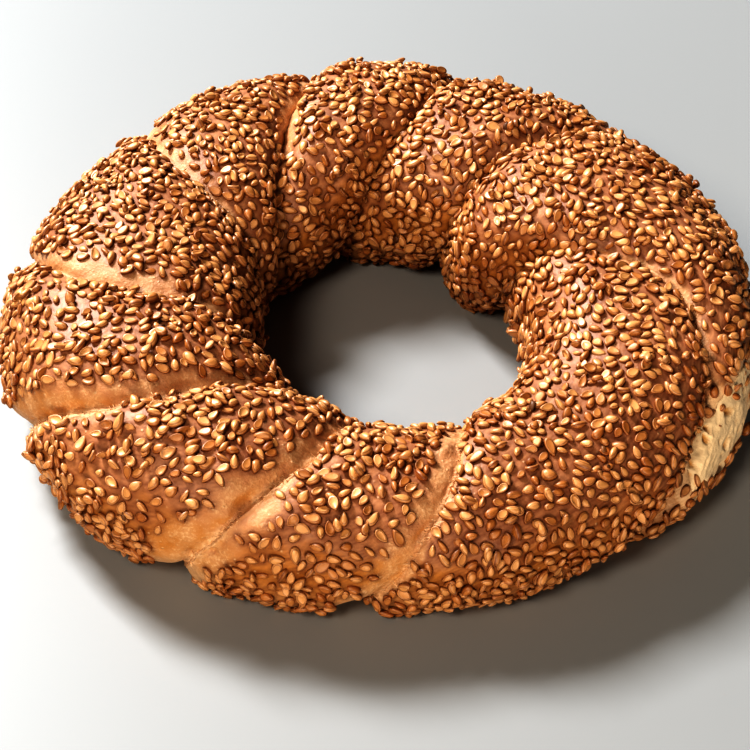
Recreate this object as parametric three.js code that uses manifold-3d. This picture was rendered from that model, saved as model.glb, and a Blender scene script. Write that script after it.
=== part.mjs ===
// Simit: a ring of bread, twisted from two ropes of dough and rolled in sesame seeds before baking.
// Millimetres, +Z up. The origin is the middle of the flat underside that the ring rests on.
// Ring angles are in degrees, anticlockwise from +X as seen from above.

import * as THREE from "three";
import { MeshSurfaceSampler } from "three/addons/math/MeshSurfaceSampler.js";
import { mergeVertices } from "three/addons/utils/BufferGeometryUtils.js";
import Module from "manifold-3d";

// The ring: the twisted ropes run round a circle that is a little out of round. The middle of the
// whole outline is a little off the middle of that circle.
const CENTRE_RADIUS = 57.7;
const OVAL = { by: 2, at: 108 };
const CORNERS = { by: 1.4, at: 100 };
const MIDDLE = { x: -0.18, y: 4.25 };

// The section: wide, lower than it is wide, and settled on a flat underside while baking.
const RING_WIDTH = 48.8;
const THICK_SIDE = { by: 5, at: 113 };
const THICK_ENDS = { by: 4.3, at: 19 };
const HEIGHT_SHARE = 0.7;
const SETTLED_SHARE = 0.13;
const SETTLED_EDGE = 1.5;
const FULLNESS = 0.92;
const CROWN = 1;

// The folds, where one rope passes over the other. Each winds round the section like a screw thread,
// so it has a ring angle on the outer side, on the crest and in the hole. Depths are for the same
// three places. The stretched dough before a fold slopes down over a wide band that holds no seeds,
// the shoulder after it is steeper, and neither takes more than its share of a rope. Swell is how far
// the rope after the fold stands out.
const FOLDS = [
  { outer: 242, crest: 256, inner: 268, depth: [3, 4, 3], band: 12, shoulder: 9, swell: -1.1 },
  { outer: 272, crest: 286, inner: 304, depth: [2.5, 3.5, 3], band: 13, shoulder: 8, swell: -0.4 },
  { outer: 321, crest: 359, inner: 381, depth: [5, 2.5, 4.5], band: 14, shoulder: 12, swell: 2.2 },
  { outer: 386, crest: 410, inner: 422, depth: [3, 4.5, 5], band: 10, shoulder: 9, swell: 0 },
  { outer: 430, crest: 441, inner: 459, depth: [3, 4.5, 5], band: 9, shoulder: 9, swell: 1.7 },
  { outer: 455, crest: 471, inner: 497, depth: [3.5, 5.5, 5], band: 9, shoulder: 9, swell: 0.6 },
  { outer: 490, crest: 505, inner: 517, depth: [3, 3.5, 3], band: 11, shoulder: 8, swell: -0.6 },
  { outer: 528, crest: 553, inner: 576, depth: [3.5, 3.5, 3], band: 12, shoulder: 8, swell: 0.8 },
  { outer: 565, crest: 587, inner: 608, depth: [3, 3.5, 3], band: 12, shoulder: 8, swell: 0.4 },
];
const UNDERSIDE_DEPTH = 7.5;
const SLOPE_SHARE = 0.48;
const FOLDS_PER_TURN = 2;

// The torn patch low on the outer side, where the crust has come away and left a shallow hollow. It
// holds no seeds where it is deeper than a share of its depth.
const PATCH = { at: 337, reach: 12, section: 0.03, sectionReach: 0.045, depth: 1.5 };
const SEEDLESS_SHARE = 0.35;

// Sesame seeds: pointed ovals, half sunk in the crust. The belly and the neck are places on the way
// from the middle, 0, to an end, 1, and the neck's width is a share of the seed's.
const SEED_LENGTH = 3.4;
const SEED_WIDTH = 2.2;
const SEED_THICKNESS = 1.5;
const SEED_BELLY = -0.45;
const SEED_NECK = { at: 0.4, width: 0.75 };
const SEED_SUNK = 0.1;
const SEED_COUNT = 180;
const SEED_SIDES = 5;
const SEED_TRIES = 14;
const SEED_DRAW = 7;
const BARE_BEFORE_FOLD = 8;
const BARE_AFTER_FOLD = 3;
const BARE_SHARE = 0.4;
const LOWEST_SEED = 5;

// The crust's grid: columns follow the folds and close up near them. Points nearer to each other than
// SAME_POINT are one.
const COLUMNS_PER_ROPE = 10;
const ROWS = 24;
const CLOSING_UP = 0.7;
const SAME_POINT = 1e-3;

const CRUST = new THREE.MeshStandardMaterial({ color: 0xa9683a, roughness: 0.45, metalness: 0 });

const radians = THREE.MathUtils.degToRad;

// The same geometry with its seams closed and without the faces that shrank to nothing at a pole.
function closeUp(geometry) {
  geometry.deleteAttribute("normal");
  geometry.deleteAttribute("uv");
  const closed = mergeVertices(geometry, SAME_POINT);
  const index = closed.index.array;
  const corners = [];
  for (let i = 0; i < index.length; i += 3) {
    const [a, b, c] = index.subarray(i, i + 3);
    if (a !== b && b !== c && c !== a) corners.push(a, b, c);
  }
  closed.setIndex(new THREE.BufferAttribute(new Uint32Array(corners), 1));
  return closed;
}

// Seeded draws, the same each time.
function makeDraw(seed) {
  let state = seed;
  return () => {
    state = (state + 0x6d2b79f5) | 0;
    let mixed = Math.imul(state ^ (state >>> 15), 1 | state);
    mixed = (mixed + Math.imul(mixed ^ (mixed >>> 7), 61 | mixed)) ^ mixed;
    return ((mixed ^ (mixed >>> 14)) >>> 0) / 2 ** 32;
  };
}

// Fold k may run past the end of the list: it then counts a full turn of the ring more.
function foldAt(k) {
  const turns = Math.floor(k / FOLDS.length);
  return { fold: FOLDS[k - turns * FOLDS.length], extra: 360 * turns };
}

// What is read from a fold at a place of the section: 0 the outer side, 1 the crest, 2 the hole.
const PLACES = ["outer", "crest", "inner"];
const READ = {
  angle: (k, place) => foldAt(k).fold[PLACES[place]] + foldAt(k).extra,
  depth: (k, place) => foldAt(k).fold.depth[place],
  band: (k) => foldAt(k).fold.band,
  shoulder: (k) => foldAt(k).fold.shoulder,
  swell: (k) => foldAt(k).fold.swell,
};

// A fold's value at a quarter turn of the section. After a full turn the thread has moved on by as
// many folds as there are ropes, and on the underside it is halfway to what follows.
function atQuarter(name, k, quarter) {
  const turns = Math.floor(quarter / 4);
  const place = quarter - 4 * turns;
  const here = k + FOLDS_PER_TURN * turns;
  if (place < PLACES.length) return READ[name](here, place);
  if (name === "depth") return UNDERSIDE_DEPTH;
  return (READ[name](here, 2) + READ[name](here + FOLDS_PER_TURN, 0)) / 2;
}

// Smooth value between the quarter turns. Section is a share of the full turn, 0 on the outer side.
function between(name, k, section) {
  const quarter = Math.floor(4 * section);
  const t = 4 * section - quarter;
  const [a, b, c, d] = [-1, 0, 1, 2].map((step) => atQuarter(name, k, quarter + step));
  return b + 0.5 * t * (c - a + t * (2 * a - 5 * b + 4 * c - d + t * (3 * (b - c) + d - a)));
}

// What a size gains at a ring angle, where it comes and goes a number of times round the ring.
const swing = ({ by, at }, times, angle) => by * Math.cos(times * radians(angle - at));

const fullPower = (value) => Math.sign(value) * Math.abs(value) ** FULLNESS;

// How far a value is past another on a scale that comes round again after a full turn.
function past(value, from, turn) {
  return THREE.MathUtils.euclideanModulo(value - from + turn / 2, turn) - turn / 2;
}

// How much the torn patch takes off at a place of the crust.
function patchHollow(angle, section) {
  const along = past(angle, PATCH.at, 360) / PATCH.reach;
  const across = past(section, PATCH.section, 1) / PATCH.sectionReach;
  return PATCH.depth * Math.exp(-(along ** 2) - across ** 2);
}

// A point of the crust. Rope counts the ropes round the ring, with its fold at each whole number.
function crustPoint(rope, section) {
  const k = Math.floor(rope);
  const share = rope - k;
  const start = between("angle", k, section);
  const end = between("angle", k + 1, section);
  const angle = start + (end - start) * share;
  const turn = radians(angle);
  const slant = 2 * Math.PI * section;

  const centre = CENTRE_RADIUS + swing(OVAL, 2, angle) + swing(CORNERS, 3, angle);
  const width = RING_WIDTH + swing(THICK_SIDE, 1, angle) + swing(THICK_ENDS, 2, angle);
  const height = HEIGHT_SHARE * width;
  const upDown = (height * (1 + SETTLED_SHARE)) / 2;

  const length = radians(end - start) * (centre + (width / 2) * Math.cos(slant));
  const before = Math.min(between("band", k + 1, section), SLOPE_SHARE * length);
  const after = Math.min(between("shoulder", k, section), SLOPE_SHARE * length);
  const dipAfter = Math.max(0, 1 - (share * length) / after) ** 2;
  const dipBefore = Math.max(0, 1 - ((1 - share) * length) / before) ** 2;
  const drop = dipAfter * between("depth", k, section) + dipBefore * between("depth", k + 1, section);
  const swell = CROWN + between("swell", k, section) * (1 - (2 * share - 1) ** 2);
  const relief = swell - drop - patchHollow(angle, section);

  const radius = centre + (width / 2) * fullPower(Math.cos(slant)) + relief * Math.cos(slant);
  const free = height - upDown + upDown * fullPower(Math.sin(slant)) + relief * Math.sin(slant);
  const rounded = (free + SETTLED_EDGE) ** 2 / (4 * SETTLED_EDGE);
  const settled = free < -SETTLED_EDGE ? 0 : free > SETTLED_EDGE ? free : rounded;
  return new THREE.Vector3(radius * Math.cos(turn), radius * Math.sin(turn), settled);
}

// The crust's skin: a torus grid laid over the ropes. The last row lies on the first, moved on by the
// folds that one turn of the section crosses. Its uv keeps the rope and the section of each point.
function makeCrust() {
  const columns = COLUMNS_PER_ROPE * FOLDS.length;
  const skin = new THREE.TorusGeometry(CENTRE_RADIUS, RING_WIDTH / 2, ROWS, columns);
  const place = skin.getAttribute("position");
  const grid = skin.getAttribute("uv");
  for (let i = 0; i < place.count; i += 1) {
    const row = Math.round(grid.getY(i) * ROWS);
    const column = Math.round(grid.getX(i) * columns);
    const rope = ropeAt(column);
    const movedOn = row === ROWS ? FOLDS_PER_TURN * COLUMNS_PER_ROPE : 0;
    const point = crustPoint(ropeAt((column + movedOn) % columns), (row % ROWS) / ROWS);
    place.setXYZ(i, point.x, point.y, point.z);
    grid.setXY(i, rope, row / ROWS);
  }
  return skin;
}

// Where a column of the grid stands among the ropes.
function ropeAt(column) {
  const rope = Math.floor(column / COLUMNS_PER_ROPE);
  const step = column / COLUMNS_PER_ROPE - rope;
  return rope + step - (CLOSING_UP * Math.sin(2 * Math.PI * step)) / (2 * Math.PI);
}

// One seed, its length along X and its flat side up: a turned drop, pointed at one end.
function makeSeed() {
  const half = SEED_LENGTH / 2;
  const wide = SEED_WIDTH / 2;
  const outline = [
    new THREE.Vector2(0, -half),
    new THREE.Vector2(wide, SEED_BELLY * half),
    new THREE.Vector2(SEED_NECK.width * wide, SEED_NECK.at * half),
    new THREE.Vector2(0, half),
  ];
  const seed = new THREE.LatheGeometry(outline, SEED_SIDES);
  seed.rotateZ(-Math.PI / 2);
  seed.scale(1, 1, SEED_THICKNESS / SEED_WIDTH);
  return closeUp(seed);
}

// True where the crust holds seeds: away from the folds, off the torn patch, and clear of the surface
// below.
function holdsSeeds(rope, section, point) {
  const k = Math.floor(rope);
  const share = rope - k;
  const start = between("angle", k, section);
  const spread = between("angle", k + 1, section) - start;
  if (patchHollow(start + share * spread, section) > SEEDLESS_SHARE * PATCH.depth) return false;
  const length = radians(spread) * Math.hypot(point.x, point.y);
  const before = Math.min(BARE_BEFORE_FOLD, BARE_SHARE * length);
  return share * length > BARE_AFTER_FOLD && (1 - share) * length > before && point.z > LOWEST_SEED;
}

// Seeds spread evenly over the crust: of some free places tried, the one furthest from the others.
function placeSeeds(crust) {
  const draw = makeDraw(SEED_DRAW);
  const sampler = new MeshSurfaceSampler(new THREE.Mesh(crust)).setRandomGenerator(draw).build();
  const places = [];
  while (places.length < SEED_COUNT) {
    let best = null;
    for (let tries = 0; tries < SEED_TRIES; ) {
      const point = new THREE.Vector3();
      const out = new THREE.Vector3();
      const uv = new THREE.Vector2();
      sampler.sample(point, out, null, uv);
      if (holdsSeeds(uv.x, uv.y, point)) {
        const gap = Math.min(...places.map((other) => other.point.distanceTo(point)), Infinity);
        if (!best || gap > best.gap) best = { point, out, gap };
        tries += 1;
      }
    }
    places.push({ ...best, heading: draw() * 2 * Math.PI });
  }
  return places;
}

const wasm = await Module();
wasm.setup();

// A closed geometry as a solid that can be joined to others, and back.
function toSolid(geometry) {
  const vertProperties = geometry.getAttribute("position").array;
  const triVerts = geometry.index.array;
  return new wasm.Manifold(new wasm.Mesh({ numProp: 3, vertProperties, triVerts }));
}

function toGeometry(solid) {
  const { vertProperties, triVerts } = solid.getMesh();
  const geometry = new THREE.BufferGeometry();
  geometry.setAttribute("position", new THREE.BufferAttribute(vertProperties, 3));
  geometry.setIndex(new THREE.BufferAttribute(triVerts, 1));
  geometry.computeVertexNormals();
  return geometry;
}

// The whole simit: every seed lies flat on the crust and is fused to it.
function makeSimit() {
  const up = new THREE.Vector3(0, 0, 1);
  const size = new THREE.Vector3(1, 1, 1);
  const crust = makeCrust();
  const places = placeSeeds(crust);
  const seed = makeSeed();
  let solid = toSolid(closeUp(crust));
  for (const { point, out, heading } of places) {
    const turned = new THREE.Quaternion().setFromUnitVectors(up, out);
    turned.multiply(new THREE.Quaternion().setFromAxisAngle(up, heading));
    const sunk = point.clone().addScaledVector(out, -SEED_SUNK);
    const pose = new THREE.Matrix4().compose(sunk, turned, size);
    solid = solid.add(toSolid(seed.clone().applyMatrix4(pose)));
  }
  const simit = new THREE.Mesh(toGeometry(solid), CRUST);
  simit.name = "simit";
  simit.position.set(-MIDDLE.x, -MIDDLE.y, 0);
  return simit;
}

const object = new THREE.Group();
object.add(makeSimit());

export default object;
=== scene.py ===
# %% [markdown]
# A simit is a ring of bread. Two ropes of dough are twisted together, closed to a ring, dipped in
# thinned molasses, rolled in sesame seeds and baked until the crust is brown and satin. This lesson
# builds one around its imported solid, which gives the place and the size of everything.

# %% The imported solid
import math
import random

import bmesh
import bpy
import numpy as np
from mathutils import Matrix, Vector, noise
from mathutils.kdtree import KDTree


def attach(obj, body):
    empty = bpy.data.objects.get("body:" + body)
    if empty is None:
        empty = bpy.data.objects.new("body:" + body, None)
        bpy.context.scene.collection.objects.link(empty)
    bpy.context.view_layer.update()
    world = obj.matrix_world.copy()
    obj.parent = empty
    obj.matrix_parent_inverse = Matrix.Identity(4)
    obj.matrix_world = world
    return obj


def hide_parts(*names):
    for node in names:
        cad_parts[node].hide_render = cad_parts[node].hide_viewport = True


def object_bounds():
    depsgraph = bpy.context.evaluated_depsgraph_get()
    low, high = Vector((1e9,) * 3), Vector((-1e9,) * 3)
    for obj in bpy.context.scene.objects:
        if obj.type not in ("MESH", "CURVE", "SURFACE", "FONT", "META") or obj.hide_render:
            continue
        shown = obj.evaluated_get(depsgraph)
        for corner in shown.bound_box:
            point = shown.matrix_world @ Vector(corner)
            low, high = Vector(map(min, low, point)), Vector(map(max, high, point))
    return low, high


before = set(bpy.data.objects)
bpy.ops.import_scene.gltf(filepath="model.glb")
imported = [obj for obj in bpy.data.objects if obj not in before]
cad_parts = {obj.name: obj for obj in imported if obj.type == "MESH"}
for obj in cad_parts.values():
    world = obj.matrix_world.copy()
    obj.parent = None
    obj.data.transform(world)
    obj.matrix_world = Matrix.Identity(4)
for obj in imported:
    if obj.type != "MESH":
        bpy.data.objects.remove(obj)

MM = 0.001
SOLID_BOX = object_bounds()
print("solid, lowest and highest corner:", SOLID_BOX)

# %% [markdown]
# The ring is not a perfect torus. Its centre line is a little oval and a little three-cornered, and
# the bread is thicker on one side. These are the solid's own sizes, so the crust lies where it is.

# %% Sizes of the ring
# A swing is how much a size gains, how many times round the ring, and where it is largest.
CENTRE_RADIUS = 57.7 * MM
OVAL = (2 * MM, 2, 108)
CORNERS = (1.4 * MM, 3, 100)
MIDDLE = (-0.18 * MM, 4.25 * MM)
RING_WIDTH = 48.8 * MM
THICK_SIDE = (5 * MM, 1, 113)
THICK_ENDS = (4.3 * MM, 2, 19)
# The section's height is a share of its width, and a share of that height has settled flat.
HEIGHT_SHARE = 0.7
SETTLED_SHARE = 0.13
SETTLED_EDGE = 1.5 * MM
FULLNESS = 0.92
CROWN = 1 * MM


def swing(size, angle):
    """What a size gains at a ring angle, where it comes and goes a number of times round the ring."""
    by, times, at = size
    return by * np.cos(times * np.radians(angle - at))


print("ring, about:", round((2 * CENTRE_RADIUS + RING_WIDTH) / MM), "mm across")

# %% [markdown]
# The ropes cross at nine folds. Each fold winds round the section like a screw thread, so it has
# one ring angle on the outer side, one on the crest and one in the hole. The dough before a fold is
# stretched into a smooth bare band. The rope after it bulges out again over a short shoulder.

# %% The folds
FOLDS = [
    {"angles": (242, 256, 268), "depths": (3, 4, 3), "band": 12, "shoulder": 9, "swell": -1.1},
    {"angles": (272, 286, 304), "depths": (2.5, 3.5, 3), "band": 13, "shoulder": 8, "swell": -0.4},
    {"angles": (321, 359, 381), "depths": (5, 2.5, 4.5), "band": 14, "shoulder": 12, "swell": 2.2},
    {"angles": (386, 410, 422), "depths": (3, 4.5, 5), "band": 10, "shoulder": 9, "swell": 0},
    {"angles": (430, 441, 459), "depths": (3, 4.5, 5), "band": 9, "shoulder": 9, "swell": 1.7},
    {"angles": (455, 471, 497), "depths": (3.5, 5.5, 5), "band": 9, "shoulder": 9, "swell": 0.6},
    {"angles": (490, 505, 517), "depths": (3, 3.5, 3), "band": 11, "shoulder": 8, "swell": -0.6},
    {"angles": (528, 553, 576), "depths": (3.5, 3.5, 3), "band": 12, "shoulder": 8, "swell": 0.8},
    {"angles": (565, 587, 608), "depths": (3, 3.5, 3), "band": 12, "shoulder": 8, "swell": 0.4},
]
# How wide the seedless band is before and after each fold, and how pale and torn its lip is, at
# the same three places.
BARE = [
    {"before": (9, 4.5, 0.5), "after": (7.5, 2.5, 0.3), "pale": (0.8, 0.6, 0), "torn": (0.8, 0.8, 0)},
    {"before": (8, 6.5, 2), "after": (1.5, 0.5, 0.3), "pale": (0.6, 0.6, 0.1), "torn": (0.3, 0.7, 0)},
    {"before": (4.5, 1, 0.3), "after": (6, 1, 0.3), "pale": (0.7, 0.1, 0), "torn": (0.2, 0, 0)},
    {"before": (2, 2, 0.3), "after": (3, 0.5, 0), "pale": (0.2, 0.1, 0), "torn": (0, 0, 0)},
    {"before": (1.5, 1, 0), "after": (1, 0.5, 0.5), "pale": (0.1, 0, 0), "torn": (0, 0, 0)},
    {"before": (5, 3, 0.8), "after": (3, 2.5, 0.5), "pale": (0.5, 0.4, 0), "torn": (0, 0, 0)},
    {"before": (5.5, 4, 0.5), "after": (0.5, 0.5, 0), "pale": (0.1, 0.3, 0), "torn": (0, 0.3, 0)},
    {"before": (6, 7, 1.2), "after": (0.5, 0.5, 0), "pale": (0.2, 0.4, 0.1), "torn": (0.2, 0.4, 0)},
    {"before": (12, 5, 1), "after": (3.5, 0.5, 0), "pale": (0.8, 0.7, 0), "torn": (1, 0.8, 0)},
]
UNDERSIDE_DEPTH = 7.5 * MM
SLOPE_SHARE = 0.48
FOLDS_PER_TURN = 2
PLACES = 3

FOLD_VALUES = {
    "angle": np.array([fold["angles"] for fold in FOLDS], float),
    "depth": np.array([fold["depths"] for fold in FOLDS]) * MM,
}
for name in ("band", "shoulder", "swell"):
    FOLD_VALUES[name] = np.array([[fold[name]] * PLACES for fold in FOLDS]) * MM
for name, unit in (("before", MM), ("after", MM), ("torn", 1), ("pale", 1)):
    FOLD_VALUES[name] = np.array([bare[name] for bare in BARE]) * unit


def read_fold(name, behind, place):
    """A fold's value. Past the end of the list it is the first fold's again, one lap further on."""
    lap, fold = np.divmod(behind, len(FOLDS))
    value = FOLD_VALUES[name][fold, np.minimum(place, PLACES - 1)]
    return value + 360 * lap if name == "angle" else value


def at_quarter(name, behind, quarter):
    """The value at a quarter turn of the section. The underside is halfway to what follows."""
    turns, place = np.divmod(quarter, 4)
    here = behind + FOLDS_PER_TURN * turns
    inner = read_fold(name, here, np.full_like(here, PLACES - 1))
    next_outer = read_fold(name, here + FOLDS_PER_TURN, np.zeros_like(here))
    under = UNDERSIDE_DEPTH if name == "depth" else (inner + next_outer) / 2
    return np.where(place < PLACES, read_fold(name, here, place), under)


def between(name, behind, section):
    """The value at any place of the section: 0 outer side, 0.25 crest, 0.5 hole, 0.75 underside."""
    quarter = np.floor(4 * section).astype(int)
    t = 4 * section - quarter
    a, b, c, d = (at_quarter(name, behind, quarter + step) for step in (-1, 0, 1, 2))
    return b + 0.5 * t * (c - a + t * (2 * a - 5 * b + 4 * c - d + t * (3 * (b - c) + d - a)))


print("folds:", len(FOLDS), "- widest bare band:", FOLD_VALUES["before"].max() / MM, "mm")

# %% [markdown]
# One rule gives every point of the crust from two numbers. The rope counts the ropes round the ring
# and the section runs once round the bread's section. Round the section the thread moves on by two
# folds, so the last row of such a grid lies exactly on the first one, two ropes further on.

# %% A point of the crust
LIP_ROUND = 0.45
PATCH = {"at": 337, "reach": 12, "section": 0.03, "section_reach": 0.045, "depth": 1.5 * MM}
BASE_LIFT = 0.35 * MM


def past(value, start, turn):
    """How far a value is past another, on a scale that comes round again after a full turn."""
    return np.mod(value - start + turn / 2, turn) - turn / 2


def full_power(value):
    """Fills out a circle's sine or cosine a little, towards a rounded square."""
    return np.sign(value) * np.abs(value) ** FULLNESS


def fold_lie(rope, section):
    """Where a place lies among the folds: ring angle, fold behind, share of the rope and its length."""
    behind = np.floor(rope).astype(int)
    share = rope - behind
    start = between("angle", behind, section)
    end = between("angle", behind + 1, section)
    angle = start + (end - start) * share
    slant = 2 * math.pi * section
    centre = CENTRE_RADIUS + swing(OVAL, angle) + swing(CORNERS, angle)
    width = RING_WIDTH + swing(THICK_SIDE, angle) + swing(THICK_ENDS, angle)
    length = np.radians(end - start) * (centre + width / 2 * np.cos(slant))
    return {"behind": behind, "share": share, "angle": angle, "slant": slant, "centre": centre,
            "width": width, "length": length, "since": share * length, "until": (1 - share) * length}


def dip(distance, reach, roundness):
    """How far a fold's side has gone down, 1 in the crease: a slope that eases out, or a round lip."""
    u = np.clip(1 - distance / reach, 0, 1)
    return (1 - roundness) * u**2 + roundness * (1 - np.sqrt(1 - u**2))


def crust_place(rope, section, lift=0):
    """The points of the crust at the given places, and how they lie among the folds."""
    lie = fold_lie(rope, section)
    behind, angle, slant = lie["behind"], lie["angle"], lie["slant"]
    height = HEIGHT_SHARE * lie["width"]
    up_down = height * (1 + SETTLED_SHARE) / 2
    before = np.minimum(between("band", behind + 1, section), SLOPE_SHARE * lie["length"])
    after = np.minimum(between("shoulder", behind, section), SLOPE_SHARE * lie["length"])
    drop = dip(lie["since"], after, LIP_ROUND) * between("depth", behind, section)
    drop += dip(lie["until"], before, 0) * between("depth", behind + 1, section)
    swell = CROWN + between("swell", behind, section) * (1 - (2 * lie["share"] - 1) ** 2)
    along = past(angle, PATCH["at"], 360) / PATCH["reach"]
    across = past(section, PATCH["section"], 1) / PATCH["section_reach"]
    relief = swell - drop - PATCH["depth"] * np.exp(-(along**2) - across**2) + lift
    radius = lie["centre"] + lie["width"] / 2 * full_power(np.cos(slant)) + relief * np.cos(slant)
    free = height - up_down + up_down * full_power(np.sin(slant)) + relief * np.sin(slant)
    rounded = (free + SETTLED_EDGE) ** 2 / (4 * SETTLED_EDGE)
    settled = np.where(free < -SETTLED_EDGE, 0, np.where(free > SETTLED_EDGE, free, rounded))
    lie["free"] = free
    turn = np.radians(angle)
    x = radius * np.cos(turn) - MIDDLE[0]
    y = radius * np.sin(turn) - MIDDLE[1]
    return np.stack([x, y, np.maximum(settled, BASE_LIFT)], -1), lie


def point_at(rope, section):
    """One point of the crust."""
    return crust_place(np.array([rope]), np.array([section]))[0][0]


print("height in the middle of a rope:", round(point_at(0.5, 0.25)[2] / MM, 1), "mm")

# %% [markdown]
# The crust starts as a flat grid, because its rows and columns can follow the ropes. Each vertex is
# moved to its place on the bread, columns close up towards the creases where the form is sharpest,
# and merging doubles closes both seams. Slow noise makes the dough uneven, as hands leave it. The
# outermost few millimetres are pressed in a little, so that the seeds on them have room.

# %% The crust's grid
COLUMNS_PER_ROPE = 64
ROWS = 168
UNDERSIDE = (0.66, 0.84)
UNDERSIDE_ROWS = 14
CLOSING_UP = 0.8
COLUMNS = COLUMNS_PER_ROPE * len(FOLDS)
SEED_ROOM = 0.9 * MM
SQUEEZED = 6 * MM
# Noise is written as size of its bumps, detail and height.
WAVER = (9 * MM, 2, 0.8 * MM)


def rope_at(column):
    """Where a column of the grid stands among the ropes."""
    rope = np.floor(column / COLUMNS_PER_ROPE)
    step = column / COLUMNS_PER_ROPE - rope
    return rope + step - CLOSING_UP * np.sin(2 * math.pi * step) / (2 * math.pi)


def section_at(row):
    """Where a row stands round the section. The flat underside takes only a few rows."""
    start, end = UNDERSIDE
    first = round((ROWS - UNDERSIDE_ROWS) * start / (1 - end + start))
    return np.interp(row, (0, first, first + UNDERSIDE_ROWS, ROWS), (0, start, end, 1))


def uneven(points, size, detail, seed):
    """Smooth noise from -1 to 1 at each point, with bumps of about the given size."""
    shift = Vector((seed * 7.3, seed * 3.1, seed * 5.7))
    flat = points.reshape(-1, 3)
    values = [noise.fractal(Vector(p) / size + shift, 1, 2, detail) for p in flat]
    return np.array(values).reshape(points.shape[:-1])


def settle(points):
    """Adds the slow waver of hand-laid dough, and squeezes the outermost few millimetres until the
    seeds on them have room inside the solid's box."""
    size, detail, reach = WAVER
    waver = [uneven(points, size, detail, seed) for seed in (21, 22)]
    points[..., :2] += reach * np.stack(waver, -1)
    low, high = SOLID_BOX
    for axis, side, limit in ((0, 1, high[0]), (0, -1, low[0]), (1, 1, high[1]), (1, -1, low[1]),
                              (2, 1, high[2])):
        start = side * limit - SEED_ROOM - SQUEEZED
        beyond = np.maximum(side * points[..., axis] - start, 0)
        share = min(1, SQUEEZED / max(beyond.max(), SQUEEZED))
        points[..., axis] -= side * beyond * (1 - share)
    return points


row_numbers, column_numbers = np.mgrid[0:ROWS + 1, 0:COLUMNS + 1]
moved_on = np.where(row_numbers == ROWS, FOLDS_PER_TURN * COLUMNS_PER_ROPE, 0)
grid_rope = rope_at((column_numbers + moved_on) % COLUMNS)
grid_section = section_at(row_numbers % ROWS)
points, lie = crust_place(grid_rope, grid_section)
print("crust grid:", COLUMNS, "columns and", ROWS, "rows")

# %% [markdown]
# What the crust looks like depends on where a place lies: the bare band before a fold, the torn lip
# in the crease, and the place low on the right where the crust came away. These are kept as numbers
# on the vertices, and the material reads them. Lips, hollows and blisters are shaped in the mesh.

# %% The torn opening
OPENING_REACH = 13
OPENING_SECTION = -0.02
OPENING_SECTION_REACH = 0.088
OPENING_DEPTH = 3.2 * MM
OPENING_SLOPE = 0.22
OPENING_EDGE = (5 * MM, 2, 0.2)
CLEAR_OF_FOLD = (0.3 * MM, 1.6 * MM)
TORN_FOLD = 2
NEAR_OPENING = 0.6
CRUMB_LIFT = 0.3 * MM


def soft(value, low, high):
    """0 at low, 1 at high, and a smooth way between."""
    t = np.clip((value - low) / (high - low), 0, 1)
    return t * t * (3 - 2 * t)


def opening(rope, section, points, wider=0.0):
    """How far the crust has come away in the torn patch, 0 to 1. Its edge is ragged."""
    lie = fold_lie(rope, section)
    along = past(lie["angle"], PATCH["at"], 360) / OPENING_REACH
    across = past(section, OPENING_SECTION, 1) / OPENING_SECTION_REACH
    size, detail, share = OPENING_EDGE
    edge = 1 - along**2 - across**2 + share * uneven(points, size, detail, 12)
    after_fold = lie["behind"] + np.where(section > 0.5, FOLDS_PER_TURN, 0) == TORN_FOLD
    clear = np.where(after_fold, soft(lie["since"], *CLEAR_OF_FOLD), 0)
    return soft(edge + wider, 0, OPENING_SLOPE) * clear


open_crust = opening(grid_rope, grid_section, points)
print("crust torn open:", round(100 * float(open_crust.mean()), 1), "% of the grid")

# %% Bare bands and pale lips
BAND_WANDER = 0.35
BAND_WANDER_SIZE = 10 * MM
BAND_FADE = 0.3 * MM


def close_to(distance, width):
    """1 close to a fold, 0 beyond a band of the given width, which wanders a little."""
    return 1 - soft(distance, 0.6 * width * wander, 1.2 * width * wander + BAND_FADE)


behind = lie["behind"]
before = np.maximum(between("before", behind + 1, grid_section), 0)
after = np.maximum(between("after", behind, grid_section), 0)
wander = 1 + BAND_WANDER * uneven(points, BAND_WANDER_SIZE, 2, 3)
bare = np.maximum(close_to(lie["until"], before), close_to(lie["since"], after))
crease = np.minimum(lie["since"], lie["until"])
nearer = behind + np.where(lie["since"] < lie["until"], 0, 1)
torn = np.clip(between("torn", nearer, grid_section), 0, 1)
pale = np.clip(between("pale", nearer, grid_section), 0, 1)
pale *= soft(uneven(points, 5 * MM, 2, 4), -0.35, 0.3)
print("bare crust:", round(100 * float(bare.mean())), "% of the grid")

# %% Fine relief
# Noise here also has a number that tells one from another.
UNEVENNESS = ((24 * MM, 2, 0.7 * MM, 1), (7 * MM, 2, 0.22 * MM, 2))
LIP_HEIGHT = 0.8 * MM
LIP_WIDTH = 0.7 * MM
HOLLOW_DEPTH = 0.9 * MM
HOLLOW_WIDTH = 1.2 * MM
SMOOTH_BASE = 4 * MM
# Blisters, which stand out, and hollows, which go in: rope, section, reach and height in mm.
MARKS = [
    (0.88, 0.282, 2.4, 0.7),
    (7.985, 0.082, 1.6, -1.3),
    (7.98, 0.11, 1.2, -0.8),
    (0.04, 0.026, 1.0, -1.1),
    (8.965, 0.124, 1.5, -1.4),
    (2.06, 0.15, 1.1, 0.45),
    (6.2, 0.21, 2.0, 0.5),
    (8.3, 0.2, 2.2, 0.4),
    (0.45, 0.09, 2.6, 0.5),
]


def layered(points, layers):
    """Noises of several sizes on top of each other."""
    return sum(height * uneven(points, size, detail, seed) for size, detail, height, seed in layers)


def ridge(distance, width):
    """A ridge along a fold, the given width away from it."""
    return np.exp(-((distance / width - 1) ** 2)) * soft(distance, 0, width)


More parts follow.
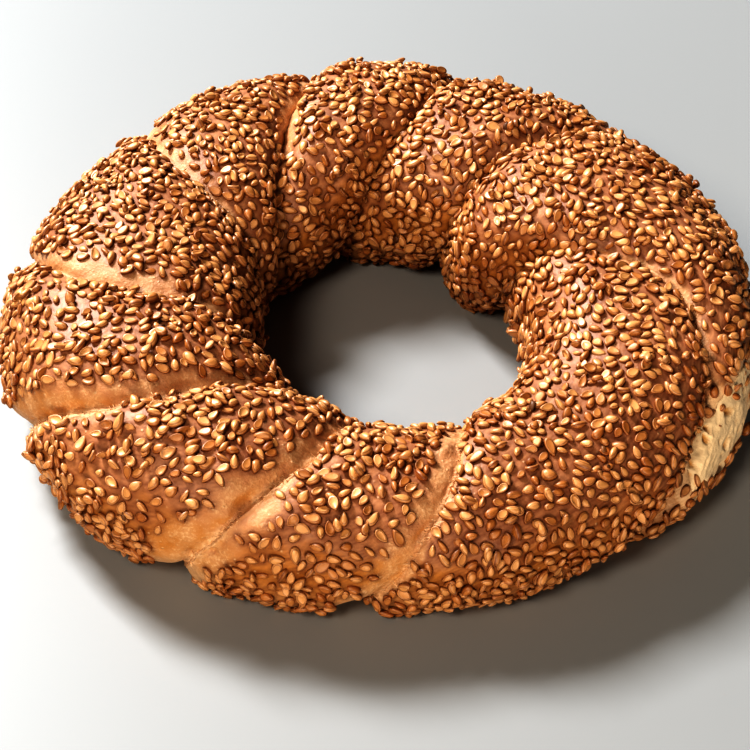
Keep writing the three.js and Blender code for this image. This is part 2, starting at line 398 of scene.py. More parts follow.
relief = layered(points, UNEVENNESS)
ragged = uneven(points, 1.6 * MM, 3, 5)
frayed = uneven(points, 4 * MM, 3, 6)
relief += LIP_HEIGHT * ridge(lie["since"], LIP_WIDTH) * torn * (0.5 + ragged)
relief -= HOLLOW_DEPTH * ridge(lie["until"], HOLLOW_WIDTH) * torn * np.clip(0.6 + 1.5 * frayed, 0, 1.6)
for rope, section, reach, height in MARKS:
    away = np.linalg.norm(points - point_at(rope, section), axis=-1) / (reach * MM)
    relief += height * MM * np.exp(-(away**4)) * (1 + 0.6 * ragged)
relief *= soft(lie["free"], 0, SMOOTH_BASE)
relief -= OPENING_DEPTH * open_crust
points, lie = crust_place(grid_rope, grid_section, relief)
points = settle(points)
print("fine relief, mm:", round(relief.min() / MM, 1), "to", round(relief.max() / MM, 1))

# %% The crust's tones
PALE_WIDTH = 1.3 * MM
TONES = {
    "bare": bare,
    "pale": np.exp(-((crease / PALE_WIDTH) ** 2)) * pale,
    "near_open": opening(grid_rope, grid_section, points, NEAR_OPENING),
}
print("tones on the crust:", *TONES)

# %% [markdown]
# A sesame seed is a flat drop about 3 mm long, pointed where it grew on the plant. Roasting leaves
# some plump, and others with a raised rim round a shallow dimple. A low sphere has the right rings
# for it: the two lower ones make the outline, the upper ones the rim and the dimple.

# %% Seed forms
SEED_LENGTH = 3.2 * MM
SEED_WIDTH = 1.9 * MM
SEED_HEIGHT = 0.86 * MM
SEED_SIDES = 14
SEED_RINGS = 4
POINTEDNESS = 0.55
WIDEST = 0.83


def drop_outline(turn):
    """A drop's outline, its point at turn 0, one long and one wide."""
    wide = math.sin(turn) * abs(math.sin(turn / 2)) ** POINTEDNESS
    return 0.5 * math.cos(turn), 0.5 * wide / WIDEST


def make_seed(rings, top, bottom, slender=1.0):
    """One seed's bmesh. Each ring, the outline first and the dimple last, is a share of the outline
    and a height. Top and bottom are the heights of the poles. All heights are shares of a seed's."""
    bm = bmesh.new()
    bmesh.ops.create_uvsphere(bm, u_segments=SEED_SIDES, v_segments=SEED_RINGS, radius=1)
    inward = bm.verts.layers.float.new("inward")
    levels = sorted({round(vert.co.z, 3) for vert in bm.verts})
    for vert in bm.verts:
        level = levels.index(round(vert.co.z, 3))
        if level in (0, len(levels) - 1):
            vert.co = (0, 0, (bottom if level == 0 else top) * SEED_HEIGHT)
            vert[inward] = 1
            continue
        share, height = rings[level - 1]
        x, y = drop_outline(math.atan2(vert.co.y, vert.co.x))
        vert.co = (share * x * SEED_LENGTH, share * y * SEED_WIDTH * slender, height * SEED_HEIGHT)
        vert[inward] = 1 - share
    return bm


SEED_KINDS = {
    "seeds_rimmed": make_seed([(1, 0.2), (0.85, 0.92), (0.62, 0.86)], 0.8, -0.7),
    "seeds_dished": make_seed([(1, 0.3), (0.88, 0.95), (0.62, 0.66)], 0.58, -0.6),
    "seeds_plump": make_seed([(1, 0.15), (0.86, 0.8), (0.5, 1.15)], 1.25, -0.8),
    "seeds_flat": make_seed([(1, 0.1), (0.84, 0.62), (0.5, 0.8)], 0.84, -0.5),
    "seeds_slim": make_seed([(1, 0.1), (0.84, 0.8), (0.5, 1.1)], 1.2, -0.7, 0.8),
}
print("faces of one seed:", [len(bm.faces) for bm in SEED_KINDS.values()])

# %% [markdown]
# Seeds stick where the wet dough met them: close together on the ridges and in the hole, thinner on
# some flanks, and not at all where the dough stretched open later. Seeds are drawn at random over
# the crust, and one that would overlap its neighbours too much is dropped.

# %% How thickly seeds lie
BAND_EDGE = 0.2 * MM
CLUSTER_SIZE = 9 * MM
THINNEST = 0.72
CLUSTERED = 0.45
# Few seeds lie under the ring and in the opening, apart from the opening's low rim.
BASE_HEIGHT = 1.2 * MM
BASE_SHARE = 0.3
CLEARED = 0.97
LOW_RIM = (-0.045, -0.075)
LOW_RIM_SHARE = 0.4
# Places with fewer seeds: ring angle, section, reach along, reach across, share left.
SPARSE = [
    (243, 0.06, 12, 0.05, 0.10),
    (262, 0.10, 10, 0.06, 0.35),
    (226, 0.10, 12, 0.05, 0.35),
    (212, 0.13, 20, 0.06, 0.6),
    (280, 0.11, 18, 0.06, 0.6),
    (300, 0.14, 14, 0.05, 0.75),
    (333, 0.15, 14, 0.05, 0.35),
    (333, 0.02, 13, 0.05, 0.02),
]


def clear_of(distance, width, start):
    """0 in a bare band, 1 outside it. The start is the share of the band where seeds begin."""
    return soft(distance, width * start * wander, width * 1.1 * wander + BAND_EDGE)


def seed_thickness():
    """How thickly seeds lie at each point of the grid, 0 to 1."""
    thick = clear_of(lie["until"], before, 0.7) * clear_of(lie["since"], after, 0.6)
    for at, at_section, reach, section_reach, left in SPARSE:
        along = past(lie["angle"], at, 360) / reach
        across = past(grid_section, at_section, 1) / section_reach
        thick *= 1 - (1 - left) * np.exp(-(along**2) - across**2)
    thick *= THINNEST + CLUSTERED * soft(uneven(points, CLUSTER_SIZE, 2, 8), -0.5, 0.4)
    thick *= np.where(points[..., 2] < BASE_HEIGHT, BASE_SHARE, 1)
    low_rim = soft(past(grid_section, 0, 1), *LOW_RIM)
    thick *= 1 - (CLEARED - LOW_RIM_SHARE * low_rim) * soft(open_crust, 0, 0.3)
    return np.clip(thick, 0, 1)


def cell_means(values):
    """The mean of each cell's four corners."""
    return (values[:-1, :-1] + values[1:, :-1] + values[:-1, 1:] + values[1:, 1:]) / 4


thickness = cell_means(seed_thickness())
edge_u = points[:-1, 1:] - points[:-1, :-1]
edge_v = points[1:, :-1] - points[:-1, :-1]
cell_area = np.linalg.norm(np.cross(edge_u, edge_v), axis=-1)
print("crust area, square centimetres:", round(float(cell_area.sum()) * 1e4))

# %% Drawn places
# Seeds drawn over the opening rest on the crumb, which is higher there than the sunk crust.
SEED_DRAWS = 75000
draw = random.Random(11)
numbers = np.random.default_rng(11)


def lerp_grid(values, row, column, v, u):
    """A value inside cells of the grid, from their four corners."""
    u, v = u[:, None], v[:, None]
    low = values[row, column] * (1 - u) + values[row, column + 1] * u
    high = values[row + 1, column] * (1 - u) + values[row + 1, column + 1] * u
    return low * (1 - v) + high * v


grid_normals = np.cross(np.gradient(points, axis=1), np.gradient(points, axis=0))
grid_normals /= np.maximum(np.linalg.norm(grid_normals, axis=-1, keepdims=True), 1e-12)
chance = (cell_area * thickness).ravel()
picked = numbers.choice(chance.size, SEED_DRAWS, p=chance / chance.sum())
picked_row, picked_column = np.divmod(picked, COLUMNS)
v, u = numbers.random(SEED_DRAWS), numbers.random(SEED_DRAWS)
draw_points = lerp_grid(points, picked_row, picked_column, v, u)
draw_normals = lerp_grid(grid_normals, picked_row, picked_column, v, u)
draw_normals /= np.linalg.norm(draw_normals, axis=1, keepdims=True)
over_crumb = lerp_grid(open_crust[..., None], picked_row, picked_column, v, u)
draw_points += draw_normals * over_crumb * (OPENING_DEPTH + CRUMB_LIFT)
draw_thickness = thickness[picked_row, picked_column]
print("places drawn:", SEED_DRAWS)

# %% Seeds that find room
CELL = 3.4 * MM
TIGHT = 0.71
LOOSE = 1.05
SPREAD_WHERE_THIN = 0.6
BESIDE_SHARE = 0.65
TRIES = 3
# Smallest size, largest size and spread, and two points of a seed as shares of its length.
SIZES = (0.75, 1.25, 0.12)
SEED_ENDS = (-0.24, 0.22)


def flat_frame(normal, turn):
    """Two directions that lie on the surface, the first turned by the given angle."""
    side = normal.orthogonal().normalized()
    other = normal.cross(side)
    along = side * math.cos(turn) + other * math.sin(turn)
    return along, normal.cross(along)


def lay_seeds():
    """The seeds that find room, one after another. Most line up with a neighbour, if there is one."""
    laid, cells = [], {}
    smallest, largest, spread = SIZES
    for point, normal, thick in zip(draw_points, draw_normals, draw_thickness):
        point, normal = Vector(point), Vector(normal)
        scale = min(largest, max(smallest, draw.gauss(1, spread)))
        home = [math.floor(value / CELL) for value in point]
        near = [other for i in (-1, 0, 1) for j in (-1, 0, 1) for m in (-1, 0, 1)
                for other in cells.get((home[0] + i, home[1] + j, home[2] + m), ())]
        room = SEED_WIDTH * (TIGHT + SPREAD_WHERE_THIN * (1 - thick) * draw.random())
        for _ in range(TRIES):
            along, across = flat_frame(normal, draw.uniform(0, 2 * math.pi))
            if near and draw.random() < BESIDE_SHARE:
                beside = near[0][0] - near[0][1] + 0.25 * SEED_LENGTH * along
                across = normal.cross(beside).normalized()
                along = across.cross(normal)
            ends = [point + along * (step * SEED_LENGTH * scale) for step in SEED_ENDS]
            gap = min(((end - taken).length for other in near for taken in other for end in ends),
                      default=1)
            if gap > room:
                crowded = 1 - soft(gap / SEED_WIDTH, TIGHT, LOOSE)
                laid.append((point, normal, along, across, scale, crowded))
                cells.setdefault(tuple(home), []).append(ends)
                break
    return laid


laid = lay_seeds()
print("seeds laid flat:", len(laid))

# %% [markdown]
# The crust round the seeds is darkened with painted contact shade, so it keeps how near a seed is,
# counted from two points of it. The grid becomes the crust's mesh, and merging doubles closes both
# seams.

# %% The crust's mesh
# Painted contact shade round the seeds: full within the first distance, gone past the second.
SEED_SHADE_HALO = (0.4 * MM, 1.9 * MM)
MERGED_WITHIN = 0.002 * MM
tree = KDTree(2 * len(laid))
for number, (point, _, along, _, scale, _) in enumerate(laid):
    for end in (0, 1):
        tree.insert(point + along * ((end - 0.5) * 0.5 * SEED_LENGTH * scale), 2 * number + end)
tree.balance()
distances = [tree.find(Vector(point))[2] for point in points.reshape(-1, 3)]
TONES["seed_contact_shade"] = 1 - soft(np.array(distances).reshape(crease.shape), *SEED_SHADE_HALO)


def shape_grid(columns, rows, points, tones):
    """A grid with its vertices at the given points and tones kept on them. Seams are merged."""
    bm = bmesh.new()
    bmesh.ops.create_grid(bm, x_segments=columns, y_segments=rows, size=0.5)
    layers = {name: bm.verts.layers.float.new(name) for name in tones}
    for vert in bm.verts:
        column, row = round((vert.co.x + 0.5) * columns), round((vert.co.y + 0.5) * rows)
        vert.co = points[row, column]
        for name, layer in layers.items():
            vert[layer] = tones[name][row, column]
    bmesh.ops.remove_doubles(bm, verts=bm.verts, dist=MERGED_WITHIN)
    return bm


def make_piece(name, bm):
    """A named object from a bmesh, with its place in its mesh and smooth faces."""
    mesh = bpy.data.meshes.new(name)
    bm.to_mesh(mesh)
    bm.free()
    mesh.shade_smooth()
    piece = bpy.data.objects.new(name, mesh)
    bpy.context.scene.collection.objects.link(piece)
    return piece


bm = shape_grid(COLUMNS, ROWS, points, TONES)
bmesh.ops.recalc_face_normals(bm, faces=bm.faces)
crust = make_piece("crust", bm)
print("crust:", len(crust.data.polygons), "faces")

# %% [markdown]
# Every laid seed gets its kind and its lean. Most lie flat, some stand on edge, and a few lie on top
# of others. All the seeds of one kind are one joined mesh of true-sized seeds.

# %% A seed's pose
# Angles are in degrees. The sizes spread in length, width and thickness.
LEAN = 11
SIZE_SPREADS = (0.06, 0.07, 0.12)
SUNK = (0.05 * MM, 0.25 * MM)
CROWDED_LIFT = 0.35 * MM
ON_EDGE_SHARE = 0.12
ON_EDGE_ROLL = (45, 85)
ON_EDGE_LIFT = 0.25 * MM
PILED_LEAN = 2.2
PILED_LIFT = (0.7 * MM, 0.95 * MM)


def pose_seed(seed, piled=False):
    """A seed's sized directions, which are length, width and thickness, and its place."""
    point, normal, along, across, scale, crowded = seed
    spread = LEAN * (PILED_LEAN if piled else 1)
    lean = math.radians(draw.gauss(0, spread))
    roll = math.radians(draw.gauss(0, spread))
    sunk = draw.uniform(*SUNK) - CROWDED_LIFT * crowded
    if not piled and draw.random() < ON_EDGE_SHARE:
        roll = math.radians(draw.choice((-1, 1)) * draw.uniform(*ON_EDGE_ROLL))
        sunk = -ON_EDGE_LIFT
    if piled:
        sunk = -draw.uniform(*PILED_LIFT)
    length = (along * math.cos(lean) + normal * math.sin(lean)).normalized()
    up = (normal - normal.dot(length) * length).normalized()
    side = up.cross(length)
    width = side * math.cos(roll) + up * math.sin(roll)
    sizes = [scale * draw.gauss(1, spread) for spread in SIZE_SPREADS]
    directions = zip((length, width, length.cross(width)), sizes)
    return np.array([direction * size for direction, size in directions]), point - normal * sunk


# %% Joined seeds
PILED_SHARE = 0.10
PILED_SHIFT = (0.8 * MM, 1.6 * MM)
PILED_ABOVE = 6 * MM
KIND_WEIGHTS = {"seeds_rimmed": 0.24, "seeds_dished": 0.1, "seeds_plump": 0.26, "seeds_flat": 0.2,
                "seeds_slim": 0.2}


def draw_kind():
    """The name of a kind of seed, by its weight."""
    return draw.choices(list(KIND_WEIGHTS), KIND_WEIGHTS.values())[0]


def join_copies(name, form, poses):
    """One mesh that holds a copy of the form at every pose, with a tone for each copy. A copy that
    would stick out of the solid's box is moved in, and nothing goes below the base."""
    form.verts.index_update()
    layer = form.verts.layers.float.get("inward")
    corners = np.array([vert.co for vert in form.verts])
    inward = [vert[layer] if layer else 0 for vert in form.verts]
    faces = [[vert.index for vert in face.verts] for face in form.faces]
    form.free()
    count = len(corners)
    places = np.array([corners @ turn + np.array(move) for turn, move in poses])
    low, high = (np.array(corner) for corner in SOLID_BOX)
    places -= np.maximum(places.max(axis=1) - high, 0)[:, None]
    places += np.maximum(low - places.min(axis=1), 0)[:, None] * (1, 1, 0)
    places = places.reshape(-1, 3)
    places[:, 2] = np.maximum(places[:, 2], 0)
    joined = [[corner + count * n for corner in face] for n in range(len(poses)) for face in faces]
    mesh = bpy.data.meshes.new(name)
    mesh.from_pydata(places.tolist(), [], joined)
    mesh.shade_smooth()
    tones = np.repeat([draw.random() for _ in poses], count)
    for label, values in (("tone", tones), ("inward", np.tile(inward, len(poses)))):
        mesh.attributes.new(label, "FLOAT", "POINT").data.foreach_set("value", values)
    piece = bpy.data.objects.new(name, mesh)
    bpy.context.scene.collection.objects.link(piece)
    print(name, len(poses), "copies,", len(joined), "faces")
    return piece


seed_poses = {name: [] for name in SEED_KINDS}
for seed in laid:
    seed_poses[draw_kind()].append(pose_seed(seed))
    point, normal, _, _, scale, _ = seed
    if point.z > PILED_ABOVE and draw.random() < PILED_SHARE:
        along, across = flat_frame(normal, draw.uniform(0, 2 * math.pi))
        shift = along * draw.uniform(*PILED_SHIFT)
        kind = draw_kind()
        seed_poses[kind].append(pose_seed((point + shift, normal, along, across, scale, 0), True))
seed_pieces = [join_copies(name, form, seed_poses[name]) for name, form in SEED_KINDS.items()]

# %% [markdown]
# Low on the right the crust tore open in the oven and shows the crumb: pale dough full of bubbles of
# all sizes, with thin walls between them. It is a fine grid laid under the opening. Voronoi cells
# give the bubbles: how much nearer the nearest cell is than the next one tells walls from pits.

# %% Open crumb
CRUMB_COLUMNS = 190
CRUMB_ROWS = 130
CRUMB_ROPES = (2.0, 2.62)
CRUMB_SECTIONS = (-0.13, 0.12)
CRUMB_WALL = 1.5 * MM
# Past the opening's edge the crumb dives under the crust.
CRUMB_WIDER = 0.3
CRUMB_DIVES = 4 * MM
LARGE_BUBBLES = (4 * MM, 1, 31)
SHREDS = ((5 * MM, 1, 0.5 * MM, 33), (1 * MM, 2, 0.06 * MM, 34))
# Bubbles: size, depth, and how wide the pit is in its cell.
BUBBLES = ((4 * MM, 2.2 * MM, 0.35), (1.9 * MM, 0.4 * MM, 0.8), (0.9 * MM, 0.12 * MM, 0.8))


def bubbles(points):
    """How deep each point lies in bubbles. The large ones stand only here and there."""
    pits = np.zeros(points.shape[:-1])
    some = soft(uneven(points, *LARGE_BUBBLES), 0.15, 0.4)
    for size, depth, wide in BUBBLES:
        nearest = [noise.voronoi(Vector(p) / size)[0][:2] for p in points.reshape(-1, 3)]
        wall = np.array([second - first for first, second in nearest]).reshape(pits.shape)
        pits += depth * soft(wall, 0.05, wide) * (some if size == BUBBLES[0][0] else 1)
    return pits


crumb_v, crumb_u = np.mgrid[0:CRUMB_ROWS + 1, 0:CRUMB_COLUMNS + 1]
crumb_rope = np.interp(crumb_u / CRUMB_COLUMNS, (0, 1), CRUMB_ROPES)
crumb_section = np.interp(crumb_v / CRUMB_ROWS, (0, 1), CRUMB_SECTIONS)
crumb_points, _ = crust_place(crumb_rope, crumb_section)
open_crumb = opening(crumb_rope, crumb_section, crumb_points, CRUMB_WIDER)
pits = bubbles(crumb_points)
crumb_relief = CRUMB_LIFT - pits + layered(crumb_points, SHREDS) - CRUMB_DIVES * (1 - open_crumb)
crumb_points, _ = crust_place(crumb_rope, crumb_section, crumb_relief)
crumb_points = settle(crumb_points)
crumb_tones = {"inward": pits / pits.max(), "open": open_crumb}
bm = shape_grid(CRUMB_COLUMNS, CRUMB_ROWS, crumb_points, crumb_tones)
bmesh.ops.recalc_face_normals(bm, faces=bm.faces)
bmesh.ops.solidify(bm, geom=bm.faces[:], thickness=CRUMB_WALL)
bmesh.ops.recalc_face_normals(bm, faces=bm.faces)
crumb = make_piece("open_crumb", bm)
print("open crumb:", len(crumb.data.polygons), "faces")

# %% [markdown]
# Where the stretched dough tore, short threads of it dried in the crease, and here and there a
# curled husk or a crumb of burnt seed sticks to the top. Both are joined meshes of tiny forms.

# %% Thread and husk forms
THREAD_LENGTH = 1.7 * MM
THREAD_THICKNESS = 0.2 * MM
HUSK_RADIUS = 0.8 * MM
HUSK_SHARES = (1.1, 0.75, 0.5)


def make_thread():
    """A thin tapered thread along X."""
    bm = bmesh.new()
    bmesh.ops.create_cone(bm, cap_ends=True, segments=5, radius1=THREAD_THICKNESS / 2,
                          radius2=THREAD_THICKNESS / 8, depth=THREAD_LENGTH)
    bmesh.ops.rotate(bm, verts=bm.verts, cent=(0, 0, 0), matrix=Matrix.Rotation(math.pi / 2, 3, "Y"))
    return bm


def make_husk():
    """A curled scrap of seed skin."""
    bm = bmesh.new()
    bmesh.ops.create_icosphere(bm, subdivisions=2, radius=HUSK_RADIUS)
    for vert in bm.verts:
        crumple = 1 + 0.55 * noise.noise(vert.co / (0.7 * MM)) + 0.3 * noise.noise(vert.co / (0.3 * MM))
        vert.co = vert.co * Vector(HUSK_SHARES) * crumple
    return bm


def crust_frame(row, column):
    """A place on the crust's grid: its point, its way out and its way across the ropes."""
    point, normal = Vector(points[row, column]), Vector(grid_normals[row, column])
    across = (Vector(points[row, (column + 1) % COLUMNS]) - point).normalized()
    return point, normal, across

# %% Torn threads
THREAD_DRAWS = 600
THREADS_NEAR = 0.8 * MM
THREADS_ABOVE = 5 * MM
THREAD_RISE = (-0.1, 0.7)
THREAD_SLANT = 0.5
THREAD_SIZES = (0.5, 1.2)
THREAD_LIFT = 0.1 * MM

threads = []
torn_cells = torn * np.exp(-((crease / THREADS_NEAR) ** 2)) * (lie["free"] > THREADS_ABOVE)
torn_cells = torn_cells[:-1, :-1].ravel()
for cell in numbers.choice(torn_cells.size, THREAD_DRAWS, p=torn_cells / torn_cells.sum()):
    point, normal, across = crust_frame(*divmod(int(cell), COLUMNS))
    rise = draw.uniform(*THREAD_RISE)
    length = (across * draw.choice((-1, 1)) + normal * rise).normalized()
    width = normal.cross(length).normalized()
    length = (length + width * draw.uniform(-THREAD_SLANT, THREAD_SLANT)).normalized()
    width = normal.cross(length).normalized()
    size = draw.uniform(*THREAD_SIZES)
    turn = np.array([length * size, width, length.cross(width)])
    threads.append((turn, point + normal * THREAD_LIFT))
torn_threads = join_copies("torn_threads", make_thread(), threads)

# %% Husks
# Heaps of husks: rope, section, how many, and how far they spread in mm.
HUSK_HEAPS = [
    (6.36, 0.196, 12, 2.2),
    (6.38, 0.152, 6, 1.8),
    (2.14, 0.282, 10, 2.4),
    (1.70, 0.210, 9, 1.6),
    (1.2, 0.3, 5, 2.5),
    (7.5, 0.27, 6, 2.5),
]
LOOSE_HUSKS = 70
GRID_STEP = 0.8
HUSK_SIZES = (0.45, 1.25)
HUSK_TILT = 0.6
HUSK_LIFT = (0.4 * MM, 1.0 * MM)

husks = []
for rope, section, count, spread in HUSK_HEAPS:
    heap = point_at(rope, section)
    around = np.argsort(np.linalg.norm(points[:-1, :-1] - heap, axis=-1), axis=None)
    within = round(math.pi * (spread / GRID_STEP) ** 2)
    husks += [divmod(int(draw.choice(around[:within])), COLUMNS) for _ in range(count)]
husks += [divmod(int(draw.choice(picked)), COLUMNS) for _ in range(LOOSE_HUSKS)]
husk_poses = []
for row, column in husks:
    point, normal, _ = crust_frame(row, column)
    along, across = flat_frame(normal, draw.uniform(0, 2 * math.pi))
    size = draw.uniform(*HUSK_SIZES)
    tilt = normal * draw.uniform(-HUSK_TILT, HUSK_TILT)
    turn = np.array([(along + tilt) * size, across * size, normal * size])
    husk_poses.append((turn, point + normal * draw.uniform(*HUSK_LIFT)))
husk_crumbs = join_copies("husk_crumbs", make_husk(), husk_poses)

# %% [markdown]
# Materials are easier to read as arithmetic. This small class wraps a socket, so that a mask can be
# multiplied, added or taken from 1 in a plain expression, and each operation adds its Math node.

# %% Shader arithmetic
class Field:
    """A value that changes over a surface."""

    def __init__(self, finish, socket):
        self.finish = finish
        self.socket = socket

    def math(self, operation, *others):
        values = dict(enumerate((self, *others)))
        return self.finish.add("ShaderNodeMath", {"operation": operation}, values)

    def __add__(self, other):
        return self.math("ADD", other)

    __radd__ = __add__

    def __sub__(self, other):
        return self.math("SUBTRACT", other)

    def __rsub__(self, other):
        return self.math("MULTIPLY", -1).math("ADD", other)

    def __mul__(self, other):
        return self.math("MULTIPLY", other)

    __rmul__ = __mul__

    def between(self, low, high):
        """0 below low, 1 above high, and a smooth way between."""
        settings = {"interpolation_type": "SMOOTHSTEP"}
        values = {"Value": self, "From Min": low, "From Max": high}
        return self.finish.add("ShaderNodeMapRange", settings, values)


class Finish:
    """A material and its nodes."""

    def __init__(self, name, roughness=0.5, specular=0.5):
        self.material = bpy.data.materials.new(name)
        self.material.use_nodes = True
        self.nodes = self.material.node_tree.nodes
        self.shader = self.nodes["Principled BSDF"]
        self.put(self.shader, {"Roughness": roughness, "Specular IOR Level": specular})

    def put(self, node, values):
        """Sets sockets, by name or number, to constants or to links."""
        for name, value in values.items():
            if isinstance(value, Field):
                self.material.node_tree.links.new(value.socket, node.inputs[name])
            else:
                node.inputs[name].default_value = value

    def add(self, kind, settings=None, values=None, output=0):
        """Any node: its settings first, then its sockets. Gives one of its outputs."""
        node = self.nodes.new(kind)
        for name, value in (settings or {}).items():
            setattr(node, name, value)
        self.put(node, values or {})
        return Field(self, node.outputs[output])

    def tone(self, name):
        """A number kept on the mesh."""
        return self.add("ShaderNodeAttribute", {"attribute_name": name}, output="Fac")

    def noise(self, size, detail=3, roughness=0.5):
        """Noise from 0 to 1 in the piece's own space, with spots of about the given size."""
        place = self.add("ShaderNodeTexCoord", output="Object")
        values = {"Vector": place, "Scale": 1 / size, "Detail": detail, "Roughness": roughness}
        return self.add("ShaderNodeTexNoise", {}, values)

    def dots(self, apart, reach):
        """Small round dots, one in each cell. Reach is a share of the distance between them."""
        place = self.add("ShaderNodeTexCoord", output="Object")
        distance = self.add("ShaderNodeTexVoronoi", {}, {"Vector": place, "Scale": 1 / apart})
        return distance.between(reach, 0)

    def mix(self, factor, first, second):
        """A colour between two colours."""
        values = {0: factor, 6: first, 7: second}
        return self.add("ShaderNodeMix", {"data_type": "RGBA"}, values, output=2)

    def bump(self, height, distance, strength):
        """Fine relief that only the light sees."""
        values = {"Height": height, "Distance": distance, "Strength": strength}
        return self.add("ShaderNodeBump", {}, values, output="Normal")

    def cover(self, *pieces, **sockets):
        """Links the shader's sockets and puts the material on pieces."""
        self.put(self.shader, {name.replace("_", " "): value for name, value in sockets.items()})
        for piece in pieces:
            piece.data.materials.append(self.material)
        print(self.material.name, "has", len(self.nodes), "nodes")


# %% [markdown]
# The crust is darkest on top, where the oven and the molasses browned it, and its mauve tint there is a
# painted sheen of the pale sky. It is golden on its sides, and pale where it stretched late. Its sheen
# is satin, broken by fine wrinkles. Masks from the mesh say where a colour goes, and noise from coarse
# to fine breaks up their edges.

# %% Crust finish
TOP_BROWN_AND_SKY_SHEEN = (0.46, 0.23, 0.12, 1)
SIDE_BROWN = (0.49, 0.22, 0.055, 1)
GOLDEN = (0.62, 0.36, 0.185, 1)
CREAM = (0.84, 0.60, 0.38, 1)
DEEP_BROWN_AND_SHADE = (0.08, 0.008, 0.0005, 1)

finish = Finish("baked_crust", specular=0.38)
normal_up = finish.add("ShaderNodeNewGeometry", output="Normal")
facing = finish.add("ShaderNodeSeparateXYZ", {}, {0: normal_up}, output=2)
clouded = finish.noise(14 * MM, 3, 0.5)
mottled = finish.noise(5 * MM, 4, 0.6)
speckled = finish.noise(1.1 * MM, 3, 0.6)
fibres = finish.noise(0.7 * MM, 4, 0.65)
pinholes = finish.dots(2.6 * MM, 0.16)
stretched = finish.tone("bare")
# Brown on top with a painted mauve sheen of the sky, orange-brown on the sides, paler close to the
# base.
top = (facing + 0.8 * (clouded - 0.5)).between(0.0, 0.8)
colour = finish.mix(top, SIDE_BROWN, TOP_BROWN_AND_SKY_SHEEN)
place = finish.add("ShaderNodeTexCoord", output="Object")
height_above = finish.add("ShaderNodeSeparateXYZ", {}, {0: place}, output=2)
low = (height_above + 10 * MM * (clouded - 0.5)).between(16 * MM, 4 * MM)
colour = finish.mix(low * 0.6, colour, GOLDEN)
# Darker clouds, painted contact shade round the seeds, and golden and cream where the dough stretched.
colour = finish.mix(mottled.between(0.42, 0.75) * 0.3, colour, DEEP_BROWN_AND_SHADE)
colour = finish.mix(stretched * mottled.between(0.25, 0.65) * 0.65, colour, GOLDEN)
colour = finish.mix(finish.tone("seed_contact_shade") * 0.55, colour, DEEP_BROWN_AND_SHADE)
colour = finish.mix(stretched * (fibres + 0.6 * mottled).between(0.78, 1.05) * 0.42, colour, CREAM)
colour = finish.mix(stretched * low * clouded.between(0.3, 0.6) * 0.4, colour, CREAM)
colour = finish.mix(finish.tone("pale") * (speckled + 0.5 * fibres).between(0.45, 0.95), colour, CREAM)
# Pale round the torn opening and in pinholes.
colour = finish.mix(finish.tone("near_open").between(0.0, 0.7) * 0.8, colour, GOLDEN)
colour = finish.mix(finish.tone("near_open").between(0.5, 1.0) * 0.7, colour, CREAM)
colour = finish.mix(pinholes * 0.5, colour, CREAM)
height = 0.6 * mottled + 0.25 * speckled + fibres * (0.1 + 0.4 * stretched) + 0.3 * pinholes
finish.cover(crust, Base_Color=colour, Roughness=0.4 + 0.2 * speckled,
             Normal=finish.bump(height, 0.5 * MM, 0.9))

# %% [markdown]
# Crumb is nearly matt and cream coloured, with painted shade down in its bubbles, and browner at its
# edge, where it meets the crust. The dried threads in the creases are the same dough.

# %% Crumb finish
CRUMB_LIGHT = (0.86, 0.66, 0.43, 1)
CRUMB_DEEP_AND_PIT_SHADE = (0.62, 0.33, 0.10, 1)

finish = Finish("open_crumb", 0.55, 0.35)
grained = finish.noise(0.8 * MM, 4, 0.65)
veined = finish.noise(3 * MM, 3, 0.6)
# Painted shade down in the bubbles, broken by browner grains and veins.
tone_shift = (finish.tone("inward") + 0.5 * (grained - 0.5) + 0.9 * (veined - 0.5)).between(0.05, 0.7)
colour = finish.mix(tone_shift, CRUMB_LIGHT, CRUMB_DEEP_AND_PIT_SHADE)
colour = finish.mix(finish.tone("open").between(1.0, 0.55), colour, GOLDEN)
finish.cover(crumb, Base_Color=colour, Normal=finish.bump(grained, 0.2 * MM, 0.8))

# %% Thread finish
finish = Finish("dried_threads", 0.6)
colour = finish.mix(finish.tone("tone"), GOLDEN, CREAM)
finish.cover(torn_threads, Base_Color=colour)

# %% [markdown]
# Roasted seeds run from gold to brown, each with its own tone. Their thin edge is browner and darkened
# with painted contact shade, with a thin line of painted shade inside the rim. Seeds that lie near each
# other browned alike, so a slow noise shifts their tones. Their skin is oily and shines.

# %% Seed finish
SEED_GOLD = (0.62, 0.335, 0.14, 1)
SEED_BROWN = (0.41, 0.165, 0.042, 1)
SEED_EDGE_SHADE = (0.11, 0.013, 0.0008, 1)

finish = Finish("roasted_sesame", specular=0.7)
tone = finish.tone("tone")
skin = finish.noise(0.6 * MM, 3, 0.6)
tone_shift = finish.noise(16 * MM, 2, 0.5)
golden = (0.8 * tone + 0.3 * skin + 1.4 * (tone_shift - 0.5)).between(0.0, 0.85)
colour = finish.mix(golden, SEED_BROWN, SEED_GOLD)
inward = finish.tone("inward")
groove_shade = inward.between(0.14, 0.24) * inward.between(0.42, 0.3)
# Painted shade: dark at each seed's thin edge, and in a thin line inside the rim.
colour = finish.mix(inward.between(0.2, -0.05) * 0.85, colour, SEED_EDGE_SHADE)
colour = finish.mix(groove_shade * (0.25 + 0.4 * skin), colour, SEED_EDGE_SHADE)
finish.cover(*seed_pieces, Base_Color=colour, Roughness=0.34 + 0.25 * skin,
             Normal=finish.bump(skin, 0.08 * MM, 0.6))

# %% Husk finish
HUSK_BURNT = (0.12, 0.045, 0.016, 1)

finish = Finish("roasted_husk")
colour = finish.mix(finish.tone("tone").between(0.15, 0.6), HUSK_BURNT, SEED_GOLD)
finish.cover(husk_crumbs, Base_Color=colour, Normal=finish.bump(finish.noise(0.4 * MM), 0.1 * MM, 0.8))

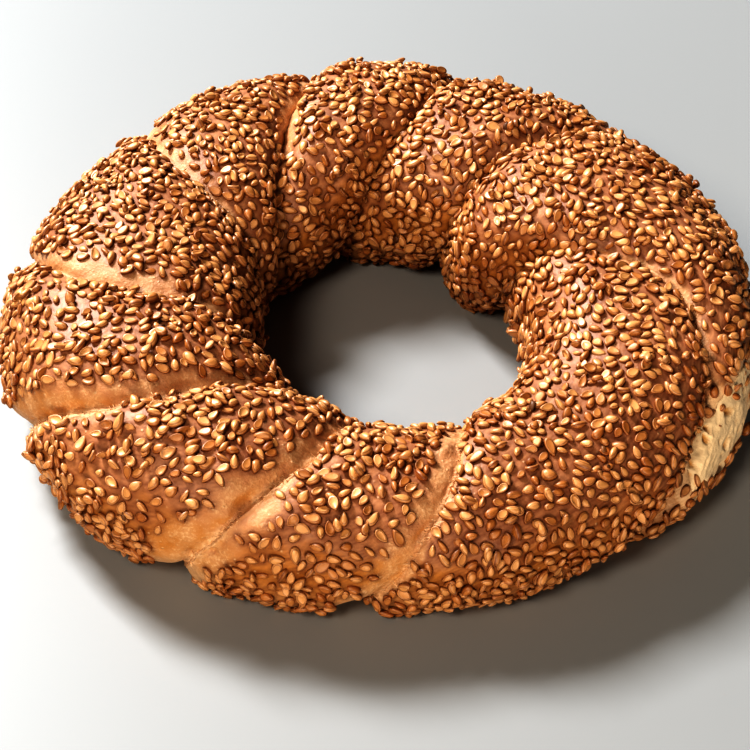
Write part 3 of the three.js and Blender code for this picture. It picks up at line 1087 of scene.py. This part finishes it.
# %% [markdown]
# All the pieces together take the place of the imported solid, whose box gave them their size. They
# are listed by the material slot they belong to, crust, crumb or sesame, and each is attached to the
# body.

# %% Slots
SLOTS = {"crust": [crust], "crumb": [crumb, torn_threads], "sesame": [*seed_pieces, husk_crumbs]}
for slot, pieces in SLOTS.items():
    for piece in pieces:
        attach(piece, "root")
        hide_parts("simit")

# %% [markdown]
# The stage is a plain pale floor. One soft key light from behind and to the left draws the seeds,
# a dimmer one fills the front, a low one brightens the front edge, and the sky is pale. The camera
# looks down at the ring from the front. Contrast is high, so that dark creases stay deep.

# %% Floor
FLOOR_SIZE = 3.0
FLOOR_DROP = 0.02 * MM
FLOOR_GREY = (0.31, 0.31, 0.31, 1)

bm = bmesh.new()
bmesh.ops.create_grid(bm, x_segments=1, y_segments=1, size=FLOOR_SIZE / 2)
bmesh.ops.translate(bm, verts=bm.verts, vec=(0, 0, -FLOOR_DROP))
floor = make_piece("floor", bm)
Finish("pale_floor").cover(floor, Base_Color=FLOOR_GREY)

# %% Lights
LIGHT_AIM = Vector((0, 0, 0.02))
# Square soft lights: name, place, size, power and colour.
LIGHTS = [
    ("key", (-0.75, 0.85, 1.05), 0.4, 45, (0.95, 0.98, 1.0)),
    ("fill", (-0.6, -0.85, 1.2), 0.5, 13, (1.0, 0.91, 0.78)),
    ("front", (0.15, -1.3, 0.13), 0.6, 12, (1.0, 0.90, 0.76)),
]
SKY = {"Color": (0.86, 0.92, 1.0, 1), "Strength": 0.06}

for name, place, size, power, colour in LIGHTS:
    light = bpy.data.lights.new(name, "AREA")
    light.size = size
    light.energy = power
    light.color = colour
    lamp = bpy.data.objects.new(name, light)
    lamp.location = place
    lamp.rotation_euler = (LIGHT_AIM - Vector(place)).to_track_quat("-Z", "Y").to_euler()
    bpy.context.scene.collection.objects.link(lamp)
world = bpy.data.worlds.new("pale_sky")
world.use_nodes = True
for name, value in SKY.items():
    world.node_tree.nodes["Background"].inputs[name].default_value = value
bpy.context.scene.world = world
print("lights:", len(LIGHTS))

# %% Camera
VIEW_DISTANCE = 460 * MM
VIEW_ELEVATION = math.radians(42)
VIEW_AIM = Vector((-1.16 * MM - MIDDLE[0], -22.64 * MM - MIDDLE[1], 20 * MM))
PIXELS = 750
PIXELS_PER_METRE_AT_AIM = 4600
SENSOR = 36

camera = bpy.data.objects.new("camera", bpy.data.cameras.new("camera"))
towards = Vector((0, math.cos(VIEW_ELEVATION), -math.sin(VIEW_ELEVATION)))
camera.location = VIEW_AIM - towards * VIEW_DISTANCE
camera.rotation_euler = towards.to_track_quat("-Z", "Y").to_euler()
camera.data.sensor_width = SENSOR
camera.data.lens = SENSOR * PIXELS_PER_METRE_AT_AIM * VIEW_DISTANCE / PIXELS
camera.data.clip_start = 0.01
bpy.context.scene.collection.objects.link(camera)
bpy.context.scene.camera = camera
view = bpy.context.scene.view_settings
view.view_transform = "Standard"
view.look = "Very High Contrast"
view.gamma = 0.9
view.exposure = -0.3
print("lens:", round(camera.data.lens, 1), "mm")
